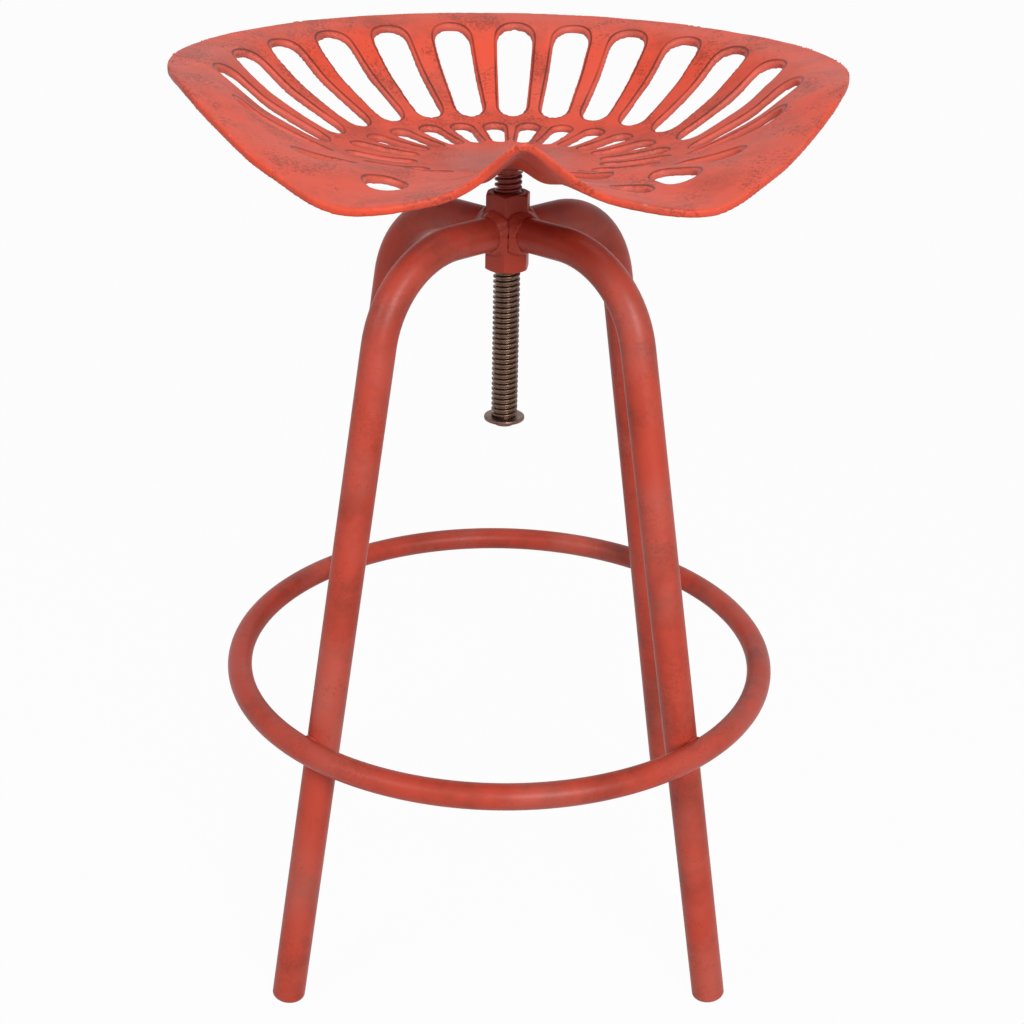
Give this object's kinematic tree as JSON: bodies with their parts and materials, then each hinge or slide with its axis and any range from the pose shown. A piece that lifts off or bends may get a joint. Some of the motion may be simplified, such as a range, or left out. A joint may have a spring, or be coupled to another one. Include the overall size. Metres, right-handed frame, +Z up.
{
  "type": "tractor seat stool",
  "caption": "Stool with a dished, slotted metal seat on a height-adjusting screw, four bent tube legs and a round foot ring.",
  "frame": {"origin": "on the floor, under the axis of the screw", "axes": "+Z up along the screw; -Y to the front of the seat, where the pommel is; +X to the right of the picture; the legs stand at 45 degrees to X and Y"},
  "size_m": [0.4719, 0.4386, 0.6928],
  "materials": {
    "base_paint": "worn red paint, satin, with dark streaks",
    "seat_paint": "worn coral red paint, satin, with dark edges",
    "screw_steel": "dark bronze-brown oiled steel",
    "foot_plastic": "dark red, matt"
  },
  "bodies": {
    "base": {"hub_nut": "base_paint", "foot_ring": "base_paint", "leg_front_left": "base_paint", "hub_weld_front_left": "base_paint", "ring_weld_front_left": "base_paint", "foot_cap_front_left": "foot_plastic", "leg_front_right": "base_paint", "hub_weld_front_right": "base_paint", "ring_weld_front_right": "base_paint", "foot_cap_front_right": "foot_plastic", "leg_rear_right": "base_paint", "hub_weld_rear_right": "base_paint", "ring_weld_rear_right": "base_paint", "foot_cap_rear_right": "foot_plastic", "leg_rear_left": "base_paint", "hub_weld_rear_left": "base_paint", "ring_weld_rear_left": "base_paint", "foot_cap_rear_left": "foot_plastic"},
    "carrier": {"stop_washer": "screw_steel"},
    "seat": {"seat_pan": "seat_paint", "spindle": "screw_steel", "seat_weld": "seat_paint", "end_bolt": "screw_steel"}
  },
  "joints": [
    {"name": "seat_lift", "type": "slide", "parent": "base", "child": "carrier", "axis": [0, 0, 1], "range_m": [-0.0121, 0.1121]},
    {"name": "seat_turn", "type": "hinge", "parent": "carrier", "child": "seat", "pos_m": [0, 0, 0.6], "axis": [0, 0, 1], "range_deg": [-1080, 10080]}
  ],
  "couplings": [
    {"joint": "seat_lift", "follows": "seat_turn", "m_per_rad": 0.00063662}
  ]
}
